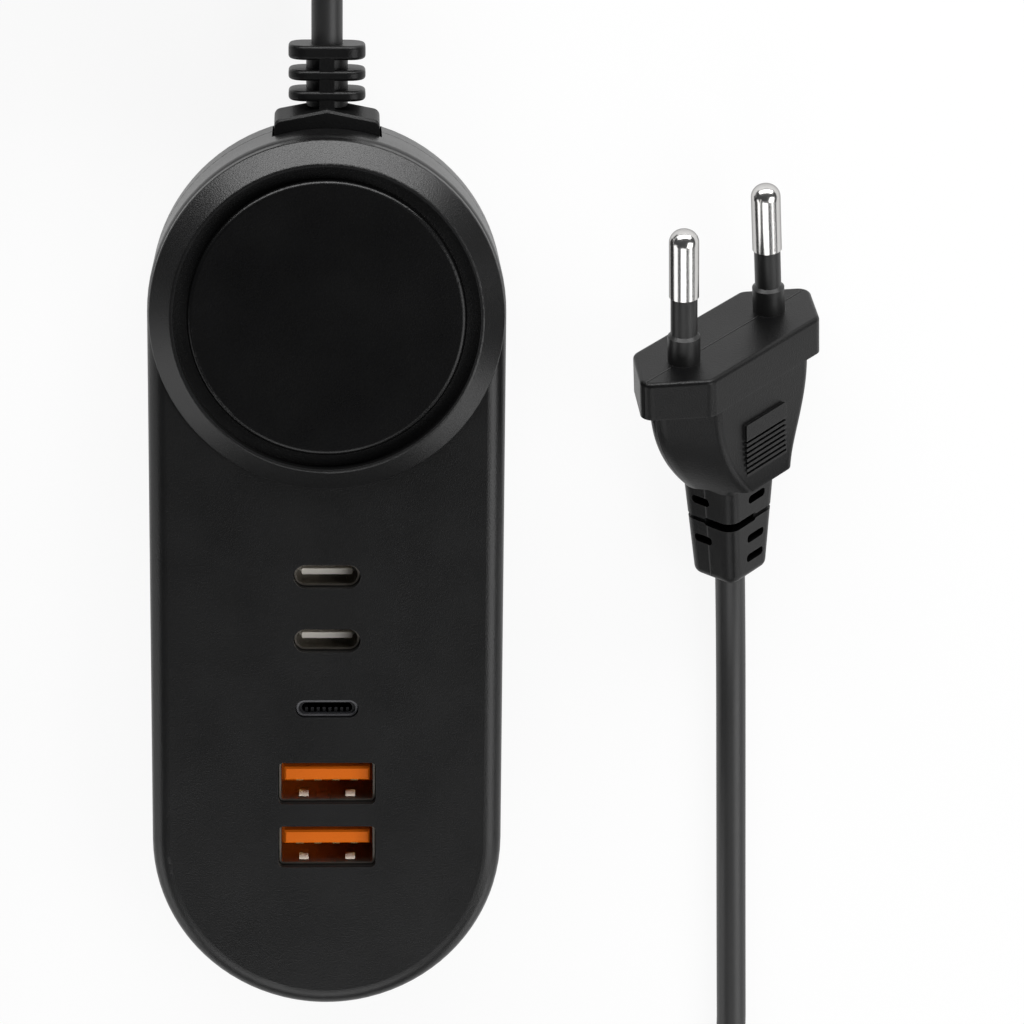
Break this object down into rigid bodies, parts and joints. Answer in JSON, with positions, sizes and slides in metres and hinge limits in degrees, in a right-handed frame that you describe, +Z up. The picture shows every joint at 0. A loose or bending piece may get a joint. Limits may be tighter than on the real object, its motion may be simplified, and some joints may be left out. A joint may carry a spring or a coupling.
{
  "type": "multi-port usb charger",
  "caption": "Black charger with a long rounded case, a raised round pad, a row of charging ports and a mains lead with a flat two-pin plug.",
  "frame": {"origin": "middle of the case's flat back, on the surface that it lies on", "axes": "+X to the right, +Y along the case towards the cord, +Z up out of the front face"},
  "size_m": [0.1218, 0.2379, 0.0269],
  "materials": {
    "case_plastic": "black, fine moulded grain",
    "pad_plastic": "black, smoother than the case",
    "screw_steel": "zinc-plated, dull",
    "board_laminate": "green solder mask",
    "port_metal": "nickel-plated sheet",
    "pale_tongue": "pale moulded plastic",
    "slim_core_plastic": "black moulded plastic",
    "orange_tongue": "orange moulded plastic",
    "contact_gold": "gold-plated spring metal",
    "ferrite": "dark grey ferrite",
    "winding_tape": "yellow polyester tape",
    "can_sleeve": "dark blue sleeve",
    "film_box": "cast resin box",
    "choke_coat": "green coated core",
    "chip_epoxy": "black moulded epoxy",
    "fuse_ceramic": "ceramic tube",
    "brown_insulation": "brown core insulation",
    "blue_insulation": "blue core insulation",
    "boot_rubber": "black, soft satin",
    "cord_jacket": "black sheath, satin",
    "tie_fabric": "black woven strap",
    "plug_plastic": "black, fine grain",
    "prong_metal": "bright nickel plate",
    "sleeve_plastic": "black insulating sleeve"
  },
  "bodies": {
    "root": {"front_shell": "case_plastic", "rear_shell": "case_plastic", "round_pad": "pad_plastic", "case_screws": "screw_steel", "main_board": "board_laminate", "usb_c_shell_upper": "port_metal", "usb_c_shell_lower": "port_metal", "usb_c_tongue_upper": "pale_tongue", "usb_c_tongue_lower": "pale_tongue", "slim_port_shell": "port_metal", "slim_port_core": "slim_core_plastic", "usb_a_shell_upper": "port_metal", "usb_a_shell_lower": "port_metal", "usb_a_tongue_upper": "orange_tongue", "usb_a_tongue_lower": "orange_tongue", "usb_a_contacts_upper": "contact_gold", "usb_a_contacts_lower": "contact_gold", "transformer_core": "ferrite", "transformer_winding": "winding_tape", "input_capacitor": "can_sleeve", "output_capacitors": "can_sleeve", "safety_capacitor": "film_box", "noise_choke": "choke_coat", "bridge_rectifier": "chip_epoxy", "mains_fuse": "fuse_ceramic", "controller_chips": "chip_epoxy", "live_lead": "brown_insulation", "neutral_lead": "blue_insulation", "cord_boot": "boot_rubber", "boot_lead": "cord_jacket", "plug_lead": "cord_jacket", "cord_coil": "cord_jacket", "cord_tie": "tie_fabric", "plug_body": "plug_plastic", "prong_left": "prong_metal", "prong_right": "prong_metal", "prong_sleeve_left": "sleeve_plastic", "prong_sleeve_right": "sleeve_plastic"}
  },
  "joints": []
}
